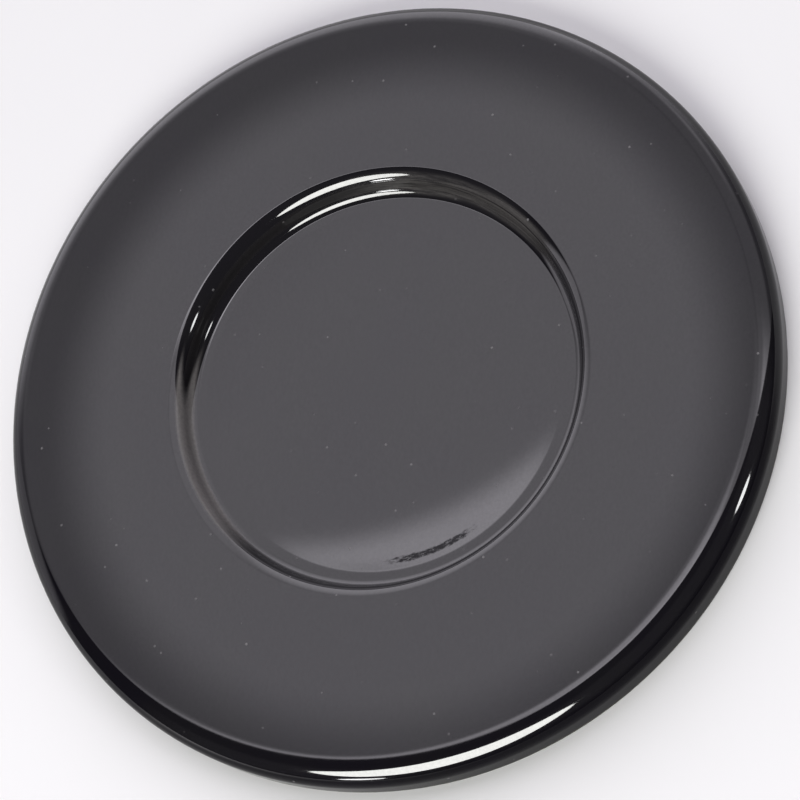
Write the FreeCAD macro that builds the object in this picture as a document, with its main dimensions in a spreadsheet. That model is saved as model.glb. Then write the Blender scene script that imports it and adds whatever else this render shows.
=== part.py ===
import FreeCAD, Part
import math
import os

import Sketcher

# Gas burner cap: one steel sheet pressed into a flange with a round recess and a rolled-down rim.
# Frame: +Z up along the cap's axis, origin on that axis in the plane that the rim's cut edge stands on.

# Driving dimensions in millimetres and degrees, as (name, value, meaning).
SIZES = [
    ("outer_diameter", 100.0, "over the rim's skirt"),
    ("sheet_thickness", 1.4, "steel with its enamel"),
    ("rim_bend_radius", 1.35, "inside of the bend from flange to skirt"),
    ("rim_lead_radius", 18.0, "gentle turn from the flange into that bend, on the top side"),
    ("rim_lead_angle", 2.5, "of that turn, in degrees"),
    ("edge_round", 0.4, "enamel-rounded corners of the skirt's cut edge"),
    ("recess_diameter", 55.6, "where the flange begins to turn down into the recess"),
    ("recess_depth", 3.3, "from the flange down to the ring round the crowned floor"),
    ("wall_draft", 10.0, "lean of the recess wall from the upright, in degrees"),
    ("shoulder_bend_radius", 0.6, "inside of the bend from flange to wall, on the underside"),
    ("foot_bend_radius", 1.3, "inside of the bend from wall to floor, on the top side"),
    ("floor_ring_width", 0.3, "flat ring between the wall's foot and the crowned floor"),
    ("crown_height", 0.7, "of the floor's raised middle above that ring"),
    ("crown_blend_radius", 12.0, "where the raised middle meets that ring, on the top side"),
    ("standing_clearance", 0.9, "of the recess's underside above the plane of the cut edge"),
]

# Expressions that tie the section to the driving dimensions.
TOTAL_HEIGHT = "sizes.recess_depth + sizes.sheet_thickness + sizes.standing_clearance"
RIM_RADIUS = "sizes.rim_bend_radius + sizes.sheet_thickness"
SHOULDER_RADIUS = "sizes.shoulder_bend_radius + sizes.sheet_thickness"

# Numbers that a sketch gives to the points of a curve, and to its own axes.
WHOLE, START, END, CENTRE = range(4)
X_AXIS, Y_AXIS = range(-1, -3, -1)
ORIGIN = (X_AXIS, START)

BENDS = ("crown", "crown_blend", "foot", "shoulder", "rim_lead", "rim")


def add_sizes(doc):
    """Puts the driving dimensions in a spreadsheet, each in a cell with its name as alias."""
    sheet = doc.addObject("Spreadsheet::Sheet", "sizes")
    for row, (name, value, meaning) in enumerate(SIZES, start=1):
        sheet.set("A%d" % row, name)
        sheet.set("B%d" % row, str(value))
        sheet.set("C%d" % row, meaning)
        sheet.setAlias("B%d" % row, name)
    doc.recompute()
    return sheet


def unit(degrees):
    """Gives the unit vector at an angle in the sketch's plane."""
    return FreeCAD.Vector(math.cos(math.radians(degrees)), math.sin(math.radians(degrees)), 0)


def sheet_runs(sheet, shift):
    """Lists the sheet's runs from the axis to the cut edge, as (name, radius, turn in degrees, length).

    A bend has a radius and a turn, to the left if positive, and a straight run has a length. The shift is
    how far below the sheet's top the line lies: the bends there have the same centres.
    """
    rim = sheet.rim_bend_radius + sheet.sheet_thickness
    lead = sheet.rim_lead_radius
    shoulder = sheet.shoulder_bend_radius + sheet.sheet_thickness
    foot = sheet.foot_bend_radius
    slope = 90 - sheet.wall_draft
    rise = math.sin(math.radians(slope))
    reach = math.cos(math.radians(slope))
    wall_length = (sheet.recess_depth - (foot + shoulder) * (1 - reach)) / rise
    wall_reach = (foot + shoulder) * rise + wall_length * reach
    crown_reach = sheet.recess_diameter / 2 - wall_reach - sheet.floor_ring_width
    crown_slope = 2 * math.degrees(math.atan2(sheet.crown_height, crown_reach))
    crown = crown_reach / math.sin(math.radians(crown_slope)) - sheet.crown_blend_radius
    lead_rise = math.sin(math.radians(sheet.rim_lead_angle))
    lead_reach = math.cos(math.radians(sheet.rim_lead_angle))
    rim_reach = lead * lead_rise + rim * (1 - lead_rise)
    rim_drop = lead * (1 - lead_reach) + rim * lead_reach
    flange_length = (sheet.outer_diameter - sheet.recess_diameter) / 2 - rim_reach
    total_height = sheet.recess_depth + sheet.sheet_thickness + sheet.standing_clearance
    skirt_length = total_height - rim_drop - sheet.edge_round
    return [
        ("crown", crown - shift, -crown_slope, 0),
        ("crown_blend", sheet.crown_blend_radius + shift, crown_slope, 0),
        ("floor_ring", 0, 0, sheet.floor_ring_width),
        ("foot", foot + shift, slope, 0),
        ("wall", 0, 0, wall_length),
        ("shoulder", shoulder - shift, -slope, 0),
        ("flange", 0, 0, flange_length),
        ("rim_lead", lead - shift, -sheet.rim_lead_angle, 0),
        ("rim", rim - shift, sheet.rim_lead_angle - 90, 0),
        ("skirt", 0, 0, skirt_length),
    ]


def draw_side(sketch, sheet, shift):
    """Draws one side of the sheet as lines and arcs, each tangent to the next; returns their indices."""
    crown_top = sheet.standing_clearance + sheet.sheet_thickness + sheet.crown_height
    point = FreeCAD.Vector(0, crown_top - shift, 0)
    heading = 0.0
    drawn = {}
    last = None
    for name, radius, turn, length in sheet_runs(sheet, shift):
        if turn:
            side = math.copysign(90, turn)
            centre = point + unit(heading + side) * radius
            angles = sorted((heading - side, heading - side + turn))
            circle = Part.Circle(centre, FreeCAD.Vector(0, 0, 1), radius)
            run = Part.ArcOfCircle(circle, math.radians(angles[0]), math.radians(angles[1]))
            heading += turn
            point = centre + unit(heading - side) * radius
        else:
            run = Part.LineSegment(point, point + unit(heading) * length)
            point = run.EndPoint
        drawn[name] = sketch.addGeometry(run, False)
        first, final = (END, START) if turn < 0 else (START, END)
        if last:
            sketch.addConstraint(Sketcher.Constraint("Tangent", *last, drawn[name], first))
        last = (drawn[name], final)
    return drawn


def draw_cut_edge(sketch, sheet, top, under):
    """Draws the skirt's cut edge: a flat foot between two rounded corners, on the plane it stands on."""
    radius = sheet.edge_round
    corners = []
    for skirt, inward in ((top["skirt"], -radius), (under["skirt"], radius)):
        centre = sketch.getPoint(skirt, END) + FreeCAD.Vector(inward, 0, 0)
        circle = Part.Circle(centre, FreeCAD.Vector(0, 0, 1), radius)
        start = -90 if inward < 0 else 180
        arc = Part.ArcOfCircle(circle, math.radians(start), math.radians(start + 90))
        corners.append((sketch.addGeometry(arc, False), centre - FreeCAD.Vector(0, radius, 0)))
    (outer, outer_foot), (inner, inner_foot) = corners
    foot = sketch.addGeometry(Part.LineSegment(outer_foot, inner_foot), False)
    sketch.addConstraint(Sketcher.Constraint("Tangent", top["skirt"], END, outer, END))
    sketch.addConstraint(Sketcher.Constraint("Tangent", outer, START, foot, START))
    sketch.addConstraint(Sketcher.Constraint("Tangent", foot, END, inner, END))
    sketch.addConstraint(Sketcher.Constraint("Tangent", inner, START, under["skirt"], END))
    sketch.addConstraint(Sketcher.Constraint("Equal", outer, inner))
    for end in (START, END):
        sketch.addConstraint(Sketcher.Constraint("PointOnObject", foot, end, X_AXIS))
    bind(sketch, "edge_round", "sizes.edge_round", "Radius", outer)


def bind(sketch, name, expression, kind, *where):
    """Adds a named dimension to the sketch and drives it from the spreadsheet."""
    value = float(sketch.evalExpression(expression))
    if kind == "Angle":
        value = math.radians(value)
    index = sketch.addConstraint(Sketcher.Constraint(kind, *where, value))
    sketch.renameConstraint(index, name)
    sketch.setExpression("Constraints." + name, expression)


def hold_top(sketch, top):
    """Fixes the top of the sheet by its driving dimensions."""
    ring_start = (top["floor_ring"], START)
    ring_end = (top["floor_ring"], END)
    flange_start = (top["flange"], START)
    sketch.addConstraint(Sketcher.Constraint("PointOnObject", top["crown"], END, Y_AXIS))
    sketch.addConstraint(Sketcher.Constraint("PointOnObject", top["crown"], CENTRE, Y_AXIS))
    sketch.addConstraint(Sketcher.Constraint("Horizontal", top["floor_ring"]))
    sketch.addConstraint(Sketcher.Constraint("Horizontal", top["flange"]))
    sketch.addConstraint(Sketcher.Constraint("Vertical", top["skirt"]))
    bind(sketch, "crown_height", "sizes.crown_height", "DistanceY", *ring_start, top["crown"], END)
    bind(sketch, "crown_blend_radius", "sizes.crown_blend_radius", "Radius", top["crown_blend"])
    bind(sketch, "floor_ring_width", "sizes.floor_ring_width", "DistanceX", *ring_start, *ring_end)
    bind(sketch, "foot_radius", "sizes.foot_bend_radius", "Radius", top["foot"])
    bind(sketch, "wall_slope", "90 - sizes.wall_draft", "Angle", top["wall"])
    bind(sketch, "shoulder_radius", SHOULDER_RADIUS, "Radius", top["shoulder"])
    bind(sketch, "recess_depth", "sizes.recess_depth", "DistanceY", *ring_start, *flange_start)
    bind(sketch, "recess_radius", "sizes.recess_diameter / 2", "DistanceX", *ORIGIN, *flange_start)
    bind(sketch, "total_height", TOTAL_HEIGHT, "DistanceY", *ORIGIN, *flange_start)
    bind(sketch, "rim_lead_radius", "sizes.rim_lead_radius", "Radius", top["rim_lead"])
    bind(sketch, "rim_lead_turn", "sizes.rim_lead_angle", "Angle", top["rim_lead"])
    bind(sketch, "rim_radius", RIM_RADIUS, "Radius", top["rim"])
    bind(sketch, "outer_radius", "sizes.outer_diameter / 2", "DistanceX", *ORIGIN, top["skirt"], END)


def hold_under(sketch, top, under):
    """Keeps the underside parallel to the top, one sheet thickness away."""
    for name in BENDS:
        sketch.addConstraint(Sketcher.Constraint("Coincident", top[name], CENTRE, under[name], CENTRE))
    sketch.addConstraint(Sketcher.Constraint("PointOnObject", under["crown"], END, Y_AXIS))
    sketch.addConstraint(Sketcher.Constraint("Vertical", under["skirt"]))
    outside = " + sizes.sheet_thickness"
    bind(sketch, "under_blend_radius", "sizes.crown_blend_radius" + outside, "Radius", under["crown_blend"])
    bind(sketch, "under_foot_radius", "sizes.foot_bend_radius" + outside, "Radius", under["foot"])
    bind(sketch, "under_shoulder_radius", "sizes.shoulder_bend_radius", "Radius", under["shoulder"])
    bind(sketch, "under_rim_radius", "sizes.rim_bend_radius", "Radius", under["rim"])


def close_on_axis(sketch, top, under):
    """Closes the half section along the cap's axis."""
    ends = (under["crown"], END), (top["crown"], END)
    axis = sketch.addGeometry(Part.LineSegment(*[sketch.getPoint(*end) for end in ends]), False)
    for axis_end, crown_end in zip((START, END), ends):
        sketch.addConstraint(Sketcher.Constraint("Coincident", axis, axis_end, *crown_end))


def make_cap(doc, sheet):
    """Turns the half section once round the Z axis."""
    body = doc.addObject("PartDesign::Body", "cap")
    body.Label = "burner_cap"
    sketch = body.newObject("Sketcher::SketchObject", "section")
    plane = next(item for item in body.Origin.OriginFeatures if item.Role == "XZ_Plane")
    sketch.AttachmentSupport = [(plane, "")]
    sketch.MapMode = "FlatFace"

    top = draw_side(sketch, sheet, 0)
    under = draw_side(sketch, sheet, sheet.sheet_thickness)
    hold_top(sketch, top)
    hold_under(sketch, top, under)
    draw_cut_edge(sketch, sheet, top, under)
    close_on_axis(sketch, top, under)
    doc.recompute()

    pressing = body.newObject("PartDesign::Revolution", "pressing")
    pressing.Profile = sketch
    pressing.ReferenceAxis = (sketch, ["V_Axis"])
    pressing.Angle = 360
    body.Tip = pressing
    doc.recompute()
    return body


def check(doc, body):
    """Stops if any object failed or the cap isn't one valid solid."""
    for item in doc.Objects:
        failed = {"Invalid", "Error"} & set(item.State)
        if failed:
            raise RuntimeError("%s is %s" % (item.Label, ", ".join(sorted(failed))))
    shape = body.Shape
    if shape.isNull() or not shape.isValid() or len(shape.Solids) != 1:
        raise RuntimeError("%s is not one valid solid" % body.Label)


def main():
    doc = FreeCAD.newDocument("gas_burner_cap")
    sheet = add_sizes(doc)
    cap = make_cap(doc, sheet)
    check(doc, cap)
    os.makedirs("parts", exist_ok=True)
    cap.Shape.exportStep("parts/%s.step" % cap.Label)


main()
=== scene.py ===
"""Enamelled cap of a gas hob burner, shown on a pale table under soft studio light."""

from math import atan, cos, pi, radians, sin, tau

import bmesh
import bpy
from mathutils import Matrix, Vector


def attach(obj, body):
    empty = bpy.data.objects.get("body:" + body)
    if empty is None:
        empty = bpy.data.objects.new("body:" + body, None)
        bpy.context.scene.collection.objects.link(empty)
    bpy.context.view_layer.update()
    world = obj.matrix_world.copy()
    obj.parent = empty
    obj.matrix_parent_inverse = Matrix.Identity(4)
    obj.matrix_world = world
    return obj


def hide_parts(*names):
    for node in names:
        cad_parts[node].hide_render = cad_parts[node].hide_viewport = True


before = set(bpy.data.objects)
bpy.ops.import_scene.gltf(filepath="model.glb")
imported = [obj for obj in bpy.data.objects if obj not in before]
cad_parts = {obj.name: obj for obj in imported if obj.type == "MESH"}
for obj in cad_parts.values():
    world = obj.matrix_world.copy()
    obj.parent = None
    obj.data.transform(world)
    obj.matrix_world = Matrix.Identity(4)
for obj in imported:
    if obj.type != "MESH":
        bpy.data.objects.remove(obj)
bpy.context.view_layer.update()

# Sizes of the pressed sheet, in millimetres, as in the solid
MM = 0.001
SHEET = 1.4
OUTER_RADIUS = 50.0
RIM_BEND = 2.75
RIM_LEAD_BEND = 18.0
RIM_LEAD = radians(2.5)
EDGE_ROUND = 0.4
SHOULDER_BEND = 2.0
FOOT_BEND = 1.3
RECESS_RADIUS = 27.8
RECESS_DEPTH = 3.3
WALL_LEAN = radians(80)
FLOOR_RING = 0.3
CROWN_HEIGHT = 0.7
CROWN_BLEND = 12.0
HEIGHT = 5.6

# How finely the sheet is drawn: strips beside the bends, parts and merging distance
SUPPORT = 0.12
TURN_PARTS = 288
EDGE_PARTS = 5
MERGE = 0.002

# Colours of the enamel, of what lies on it and of the table
BLACK_COOL = (0.0042, 0.0036, 0.0058, 1)
BLACK_WARM = (0.0050, 0.0046, 0.0060, 1)
# Grey of the cut edge: part wear, part painted reflection of the table
EDGE_WEAR_AND_PAINTED_REFLECTION = (0.06, 0.06, 0.05, 1)
DUST = (0.2, 0.19, 0.184, 1)
SPECK = (0.17, 0.165, 0.17, 1)
UNDERSIDE_DARK = (0.010, 0.009, 0.011, 1)
UNDERSIDE_PALE = (0.018, 0.017, 0.019, 1)
PAPER_DIM = (0.86, 0.86, 0.86, 1)
PAPER_PALE = (0.89, 0.89, 0.89, 1)
RELIEF_DEPTH = 0.06 * MM

# Brightness of the room's parts, its tint, and the table under the cap
ROOM_DIM = 0.05
WALL_DIM = 0.45
WALL_GAIN = 1.7
PANEL_LIGHT = 1.35
RIDGE_GAIN = 1.42
LEFT_LIGHT = 1.2
ROOM_TINT = (1.0, 0.965, 1.04, 1)
WHITE = (1.0, 1.0, 1.0)
TABLE_RADIUS = 6.0
TABLE_PARTS = 96

# Bearings round the cap in degrees from +X, and the picture's side in pixels
FAR_SIDE = 59
BACK_SIDE = 70
RIGHT_SIDE = -20
LEAD_SIDE = 240
STREAK_RUN = 152.5
PICTURE = 800


class Wire:
    """An output of a node. Arithmetic with it adds Math nodes to its tree."""

    def __init__(self, nodes, socket):
        self.nodes = nodes
        self.socket = socket

    def math(self, operation, *values):
        return self.nodes.add("ShaderNodeMath", {"operation": operation}, dict(enumerate(values)))

    def __add__(self, other):
        return self.math("ADD", self, other)

    def __sub__(self, other):
        return self.math("SUBTRACT", self, other)

    def __rsub__(self, other):
        return self.math("SUBTRACT", other, self)

    def __mul__(self, other):
        return self.math("MULTIPLY", self, other)

    def __pow__(self, other):
        return self.math("POWER", self, other)

    __radd__ = __add__
    __rmul__ = __mul__

    def between(self, low, high, smooth=True):
        """0 below low and 1 above high, or the other way round where low is the greater."""
        kind = "SMOOTHSTEP" if smooth else "LINEAR"
        if low > high:
            return 1 - self.between(high, low, smooth)
        return self.nodes.add("ShaderNodeMapRange", {"interpolation_type": kind},
                              {"Value": self, "From Min": low, "From Max": high})

    def band(self, low, rise, fall, high):
        """1 from rise to fall, and 0 below low and above high."""
        return self.between(low, rise) * self.between(high, fall)


class Nodes:
    """The node tree of a material or of the world, emptied."""

    def __init__(self, owner):
        owner.use_nodes = True
        self.tree = owner.node_tree
        self.tree.nodes.clear()

    def add(self, kind, settings=None, inputs=None, output=0):
        """Adds one node: its settings first, then its sockets' values and links."""
        node = self.tree.nodes.new(kind)
        for name, value in (settings or {}).items():
            setattr(node, name, value)
        for name, value in (inputs or {}).items():
            if isinstance(value, Wire):
                self.tree.links.new(value.socket, node.inputs[name])
            else:
                node.inputs[name].default_value = value
        return Wire(self, node.outputs[output]) if node.outputs else node

    def split(self, vector):
        """The three components of a vector."""
        node = self.add("ShaderNodeSeparateXYZ", None, {0: vector}).socket.node
        return [Wire(self, output) for output in node.outputs]

    def noise(self, place, scale, detail=2.0, roughness=0.5):
        """Noise about 0.5, with its scale in patches to the unit of the place."""
        return self.add("ShaderNodeTexNoise", {"noise_dimensions": "3D"},
                        {"Vector": place, "Scale": scale, "Detail": detail, "Roughness": roughness})

    def stretched(self, across, along):
        """A place for noise that runs out into strokes."""
        return self.add("ShaderNodeCombineXYZ", None, {0: across, 1: along})

    def blend(self, amount, first, second):
        """A colour between two others."""
        return self.add("ShaderNodeMix", {"data_type": "RGBA"},
                        {0: amount, 6: first, 7: second}, output=2)

    def relief(self, strength, height):
        """A slight unevenness of the surface."""
        return self.add("ShaderNodeBump", None,
                        {"Strength": strength, "Distance": RELIEF_DEPTH, "Height": height})

    def millimetres(self):
        """The place on the piece, in millimetres."""
        place = self.add("ShaderNodeTexCoord", output="Object")
        return self.add("ShaderNodeVectorMath", {"operation": "SCALE"}, {0: place, "Scale": 1 / MM})

    def surface(self, inputs):
        """The finish itself, by the inputs of its shader."""
        shader = self.add("ShaderNodeBsdfPrincipled", None, inputs)
        self.add("ShaderNodeOutputMaterial", None, {"Surface": shader})


class Section:
    """A pen that draws the sheet's section as a wire in the XZ plane."""

    def __init__(self, mesh, x, z):
        self.mesh = mesh
        self.heading = 0.0
        self.tip = mesh.verts.new((x, 0, z))
        self.drawn = [self.tip]

    def straight(self, length):
        """A flat run, with a narrow strip at each end that keeps its shading flat."""
        along = Vector((cos(self.heading), 0, sin(self.heading)))
        strip = min(SUPPORT, length / 4)
        for part in (strip, length - 2 * strip, strip):
            made = bmesh.ops.extrude_vert_indiv(self.mesh, verts=[self.tip])
            self.tip = made["verts"][0]
            bmesh.ops.translate(self.mesh, verts=[self.tip], vec=along * part)
            self.drawn += made["verts"] + made["edges"]

    def bend(self, radius, turn, parts):
        """An arc that leaves the last run at a tangent. A positive turn is upwards."""
        side = 1 if turn > 0 else -1
        across = Vector((-sin(self.heading), 0, cos(self.heading))) * side
        before = set(self.mesh.verts) | set(self.mesh.edges)
        made = bmesh.ops.spin(self.mesh, geom=[self.tip], cent=self.tip.co + across * radius,
                              axis=(0, -1, 0), angle=turn, steps=parts)
        self.tip = next(item for item in made["geom_last"] if isinstance(item, bmesh.types.BMVert))
        self.drawn += [item for item in [*self.mesh.verts, *self.mesh.edges] if item not in before]
        self.heading += turn


def spin_round(mesh, wire, finish):
    """Turns a section right round the axis and gives the new faces their finish."""
    before = set(mesh.faces)
    bmesh.ops.spin(mesh, geom=wire, cent=(0, 0, 0), axis=(0, 0, 1),
                   angle=tau, steps=TURN_PARTS, use_merge=True)
    for face in set(mesh.faces) - before:
        face.material_index = finish
        face.smooth = True


def sheet_runs():
    """The sheet's top from the axis to the cut edge, run by run.

    Each run is a bend's radius, turn and number of parts, or a straight length and two zeros.
    """
    bends = FOOT_BEND + SHOULDER_BEND
    wall = (RECESS_DEPTH - bends * (1 - cos(WALL_LEAN))) / sin(WALL_LEAN)
    crown_reach = RECESS_RADIUS - bends * sin(WALL_LEAN) - wall * cos(WALL_LEAN) - FLOOR_RING
    crown_turn = 2 * atan(CROWN_HEIGHT / crown_reach)
    crown_bend = crown_reach / sin(crown_turn) - CROWN_BLEND
    rim_reach = RIM_LEAD_BEND * sin(RIM_LEAD) + RIM_BEND * (1 - sin(RIM_LEAD))
    rim_drop = RIM_LEAD_BEND * (1 - cos(RIM_LEAD)) + RIM_BEND * cos(RIM_LEAD)
    return (
        (crown_bend, -crown_turn, 30),
        (CROWN_BLEND, crown_turn, 8),
        (FLOOR_RING, 0, 0),
        (FOOT_BEND, WALL_LEAN, 14),
        (wall, 0, 0),
        (SHOULDER_BEND, -WALL_LEAN, 16),
        (OUTER_RADIUS - rim_reach - RECESS_RADIUS, 0, 0),
        (RIM_LEAD_BEND, -RIM_LEAD, 8),
        (RIM_BEND, RIM_LEAD - pi / 2, 26),
        (HEIGHT - rim_drop - EDGE_ROUND, 0, 0),
    )


def draw_side(mesh, depth):
    """One side of the sheet, at a depth below its top, as a wire from the axis to the cut edge."""
    pen = Section(mesh, 0, HEIGHT - RECESS_DEPTH + CROWN_HEIGHT - depth)
    for size, turn, parts in sheet_runs():
        if turn:
            pen.bend(size + (depth if turn > 0 else -depth), turn, parts)
        else:
            pen.straight(size)
    return pen


def press_cap():
    """The whole pressing, spun from its section: the gloss side, the side below, the cut edge."""
    mesh = bmesh.new()
    top = draw_side(mesh, 0)
    under = draw_side(mesh, SHEET)
    under.bend(EDGE_ROUND, pi / 2, EDGE_PARTS)
    under.straight(SHEET - 2 * EDGE_ROUND)
    under.bend(EDGE_ROUND, pi / 2, EDGE_PARTS)
    spin_round(mesh, top.drawn, 0)
    spin_round(mesh, under.drawn, 1)
    bmesh.ops.remove_doubles(mesh, verts=mesh.verts, dist=MERGE)
    bmesh.ops.recalc_face_normals(mesh, faces=mesh.faces)
    bmesh.ops.scale(mesh, verts=mesh.verts, vec=(MM, MM, MM))
    return mesh


def make_piece(name, mesh, *finishes):
    """An object at the origin from a finished bmesh."""
    data = bpy.data.meshes.new(name)
    mesh.to_mesh(data)
    mesh.free()
    piece = bpy.data.objects.new(name, data)
    bpy.context.collection.objects.link(piece)
    for finish in finishes:
        data.materials.append(finish)
    return piece


def reach(x, y, bearing):
    """How far a place or a direction goes towards a bearing."""
    return x * cos(radians(bearing)) + y * sin(radians(bearing))


class Spot:
    """A place on the cap, in millimetres, and the parts of the recess that it may lie in."""

    def __init__(self, nodes):
        self.place = nodes.millimetres()
        self.x, self.y, self.height = nodes.split(self.place)
        self.radius = (self.x * self.x + self.y * self.y) ** 0.5
        self.far = reach(self.x, self.y, FAR_SIDE)
        self.deep = self.far.between(4, 13)
        self.inside = self.radius.band(24.3, 24.5, 28.2, 28.4)
        self.wall = self.height.band(2.85, 3.1, 4.45, 4.7) * self.inside


def fired_specks(nodes, spot):
    """Dust specks and pinholes, fired into the glass, each of its own strength."""
    cell = nodes.add("ShaderNodeTexVoronoi", {"voronoi_dimensions": "3D", "feature": "F1"},
                     {"Vector": spot.place, "Scale": 0.41}).socket.node
    strength = nodes.split(Wire(nodes, cell.outputs["Color"]))[0]
    return Wire(nodes, cell.outputs["Distance"]).between(0.09, 0.035) * strength.between(0.25, 1.1)


def painted_sheen_cover(spot):
    """Painted sheen and shade: the coat's strength, set by place on the cap. It is stronger in the
    recess and the bends and weak on the far wall and on the skirt, so reflections come out brighter
    or darker there.
    """
    x, y, radius = spot.x, spot.y, spot.radius
    back = reach(x, y, BACK_SIDE)
    across = reach(x, y, RIGHT_SIDE)
    # Painted shade: the coat thins towards the outer edge, round a centre set towards the near
    # side, so the top darkens towards the rim
    flat = ((x * x + (y + 2.6) ** 2) ** 0.5).between(46.7, 36.8)
    # Painted highlights: the recess bends get a stronger coat, much more on the far side, so the
    # lamps' reflections there are brighter
    recess_bend = radius.band(24.5, 24.8, 27.2, 27.6)
    recess_painted_sheen = recess_bend * (0.054 + spot.far.between(11.5, 16.5) * 0.55)

    # Painted highlights on the rim: the coat is stronger along the near side and on the right, so
    # reflections there are brighter
    lead = radius.band(46.4, 46.8, 47.4, 47.7) * reach(x, y, LEAD_SIDE).between(24, 38)
    near_rim = radius.between(48.0, 48.35) * back.between(-10, -27)
    sides = (across * across).between(1450, 2100)
    edge = radius.between(48.3, 48.7) * across.between(36, 44) * back.between(-6, 8)
    rim_painted_sheen = (radius.between(47.0, 47.95) * 0.23 + near_rim * 0.6) * (1 - sides) + edge * 0.25
    bends = recess_painted_sheen + rim_painted_sheen * radius.between(49.6, 49.0)

    # Painted shade: the coat is taken off the skirt, less so on the right, and off the far recess
    # wall, so their reflections stay dark
    skirt = radius.between(49.0, 49.6) * (1 - across.between(38, 46) * 0.75)
    wall_painted_shade = spot.wall * spot.deep * (0.93 - x.between(17, 25) * 0.4)
    return (0.17 + flat * 0.226 + lead * 0.12 + bends) * (1 - skirt) * (1 - wall_painted_shade)


def rubbed_streak(nodes, spot):
    """A streak of fine rubbed strokes on the near side of the floor."""
    along = reach(spot.x, spot.y, STREAK_RUN)
    strip = spot.radius.band(21.85, 22.35, 22.75, 23.15) * spot.y.between(-5, -10)
    strokes = nodes.noise(nodes.stretched(spot.radius, along * 0.35), 3.5, 3.0, 0.7)
    return (strip * along.band(-8.5, -2, 3, 10)
            + strokes.between(0.25, 0.75, False)).between(0.95, 1.55)


def recess_dust(nodes, spot):
    """Dust that lies in the left corner of the recess, and smears on the right of its wall."""
    x, y, height = spot.x, spot.y, spot.height
    corner = height.band(2.4, 2.7, 5.0, 5.3) * spot.inside
    settled = (spot.far - (height - 3.95) ** 2 * 4).between(9, 5)
    settled = settled * y.between(-4, 6) * x.between(-10, -16)
    wiped = nodes.noise(nodes.stretched(height, x * 0.12), 3.0, 4.0, 0.6).between(0.32, 0.68)
    smear = spot.inside * height.band(2.35, 2.6, 5.2, 5.5) * spot.deep * x.between(13, 22)
    return spot.wall * spot.deep * 0.1 + corner * settled + smear * (0.08 + wiped * 0.42)


def gloss_enamel():
    """Black gloss enamel with specks, dust, a rubbed streak, faint peel, painted sheen and shade in
    the coat, and a grey cut edge that is part wear and part painted reflection of the table.
    """
    finish = bpy.data.materials.new("gloss_enamel")
    nodes = Nodes(finish)
    spot = Spot(nodes)
    speck = fired_specks(nodes, spot)
    dust = recess_dust(nodes, spot)
    grain = nodes.noise(spot.place, 3.0, 3.0)
    dulled = (1 - speck) * (1 - rubbed_streak(nodes, spot) * 0.9) * (1 - dust * 0.45)
    # The coat's strength carries painted sheen and shade by place, dulled by the specks, dust and
    # rubbed streak
    glass = painted_sheen_cover(spot) * dulled * (0.86 + grain * 0.28)

    mottle = nodes.noise(spot.place, 0.09, 3.0)
    # Painted reflection: a grey band in patches along the bottom millimetre of the skirt stands in
    # for the table's reflection there, and is also wear of the cut edge
    wear_and_painted_reflection = spot.height.between(1.0, 0.3) * nodes.noise(spot.place, 0.8, 4.0).between(0.25, 0.6)
    ground = nodes.blend(mottle.between(0.35, 0.65), BLACK_COOL, BLACK_WARM)
    edged = nodes.blend(wear_and_painted_reflection, ground, EDGE_WEAR_AND_PAINTED_REFLECTION)
    dusty = nodes.blend(dust * (0.5 + grain * 0.5), edged, DUST)
    haze = nodes.noise(spot.place, 0.35, 3.0)
    peel = nodes.noise(spot.place, 1.3, 2.0)
    ripple = nodes.noise(spot.place, 0.12, 1.0)
    nodes.surface({
        "Base Color": nodes.blend(speck, dusty, SPECK),
        "Roughness": 0.045 + haze * 0.05 + speck * 0.3 + wear_and_painted_reflection * 0.3,
        "Specular IOR Level": 0.05,
        "Coat Weight": glass,
        "Coat Roughness": 0.05,
        "Coat IOR": 2.2,
        "Normal": nodes.relief(0.25, peel * 0.5 + ripple + speck),
    })
    return finish


def ground_enamel():
    """The underside: the thin matt coat that lies under the gloss, with fine grit."""
    finish = bpy.data.materials.new("ground_enamel")
    nodes = Nodes(finish)
    place = nodes.millimetres()
    grit = nodes.noise(place, 2.4, 4.0)
    patch = nodes.noise(place, 0.16, 3.0)
    nodes.surface({
        "Base Color": nodes.blend(patch.between(0.3, 0.7), UNDERSIDE_DARK, UNDERSIDE_PALE),
        "Roughness": 0.30 + patch * 0.2,
        "Specular IOR Level": 0.35,
        "Normal": nodes.relief(0.35, grit),
    })
    return finish


def paper():
    """Pale matt paper under the cap."""
    finish = bpy.data.materials.new("paper")
    nodes = Nodes(finish)
    tone = nodes.noise(nodes.millimetres(), 0.02, 3.0)
    nodes.surface({
        "Base Color": nodes.blend(tone, PAPER_DIM, PAPER_PALE),
        "Roughness": 0.9,
        "Specular IOR Level": 0.1,
    })
    return finish


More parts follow.
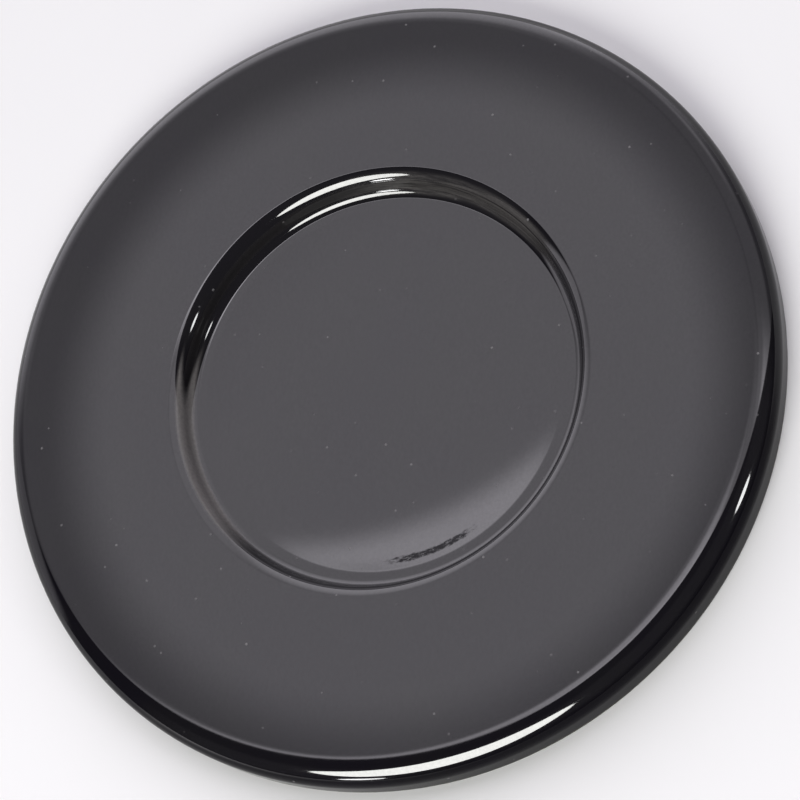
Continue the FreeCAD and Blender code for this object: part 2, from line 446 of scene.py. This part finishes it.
def light_room():
    """A room with a pale wall and ceiling behind the cap and a dim side towards the camera."""
    world = bpy.data.worlds.new("studio")
    bpy.context.scene.world = world
    nodes = Nodes(world)
    x, y, up = nodes.split(nodes.add("ShaderNodeTexCoord", output="Generated"))
    wall = WALL_DIM + WALL_GAIN * reach(x, y, BACK_SIDE).between(0.45, 0.95)

    # A ceiling panel overhead and a window on the right are of one brightness
    panel = x.band(-0.36, -0.16, 0.16, 0.36) * up.between(0.6, 0.85)
    window = x.between(0.16, 0.36) * y.between(0.62, 0.42) * up.between(0.2, 0.45)
    pale = 1 - (1 - panel) * (1 - window)

    # The ceiling is brightest outside a bowed edge
    bow = ((x - 0.102) ** 2 + (y - 0.65) ** 2) ** 0.5
    ridge = bow.between(0.34, 0.37) * x.between(0.15, 0.04)
    ridge = ridge * y.between(0.52, 0.42) * up.between(0.75, 0.9)

    # The lit half ends at a plane, past which only a patch on the left is bright
    lit = (x * -0.669 + y * -0.7 + up * -0.249).between(-0.3745, -0.3915)
    left = x.between(-0.2, -0.35) * y.between(0.58, 0.66)
    bright = (wall + (PANEL_LIGHT - wall) * pale) * (1 + RIDGE_GAIN * ridge)
    light = ROOM_DIM + lit * bright + (1 - lit) * left * LEFT_LIGHT
    shade = nodes.add("ShaderNodeBackground", None, {"Color": ROOM_TINT, "Strength": light})
    nodes.add("ShaderNodeOutputWorld", None, {"Surface": shade})


def hang_lamp(name, azimuth, elevation, roll, span, radiance, colour=WHITE):
    """A soft oval lamp a metre away. Angles are in degrees, azimuth from the camera's side."""
    bearing, rise = radians(azimuth), radians(elevation)
    towards = Vector((-sin(bearing) * cos(rise), -cos(bearing) * cos(rise), sin(rise)))
    data = bpy.data.lights.new(name, "AREA")
    data.shape = "ELLIPSE"
    data.size, data.size_y = (radians(angle) for angle in span)
    data.color = colour
    data.energy = radiance * pi * pi / 4 * data.size * data.size_y
    lamp = bpy.data.objects.new(name, data)
    turn = (-towards).to_track_quat("-Z", "Y").to_matrix().to_4x4()
    lamp.matrix_world = Matrix.Translation(towards) @ turn @ Matrix.Rotation(radians(roll), 4, "Z")
    lamp.visible_camera = False
    bpy.context.collection.objects.link(lamp)


def place_camera(tilt, roll, distance, aim, focal_pixels):
    """The photograph's view, by its tilt from the cap's axis and the turn of the picture."""
    data = bpy.data.cameras.new("camera")
    data.sensor_width = 36.0
    data.lens = data.sensor_width * focal_pixels / PICTURE
    camera = bpy.data.objects.new("camera", data)
    turn = Matrix.Rotation(radians(tilt), 4, "X") @ Matrix.Rotation(-radians(roll), 4, "Z")
    camera.matrix_world = Matrix.Translation(Vector(aim) + turn.col[2].xyz * distance) @ turn
    bpy.context.collection.objects.link(camera)
    bpy.context.scene.camera = camera


place_camera(tilt=26.527, roll=48.69, distance=0.340,
             aim=(0.000012, -0.001988, 0.0), focal_pixels=2754.6)

cap = make_piece("enamelled_cap", press_cap(), gloss_enamel(), ground_enamel())
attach(cap, "root")
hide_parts("burner_cap")

table = bmesh.new()
bmesh.ops.create_circle(table, cap_ends=True, segments=TABLE_PARTS, radius=TABLE_RADIUS)
floor = make_piece("table", table, paper())

light_room()
hang_lamp("softbox", azimuth=54, elevation=38, roll=8, span=(48, 36), radiance=6.0,
          colour=(1.0, 1.0, 0.97))
hang_lamp("low_lamp", azimuth=67, elevation=8, roll=0, span=(9, 7), radiance=12.0)
hang_lamp("side_lamp", azimuth=-33, elevation=32, roll=0, span=(7, 13), radiance=6.0)

bpy.context.scene.view_settings.view_transform = "Standard"
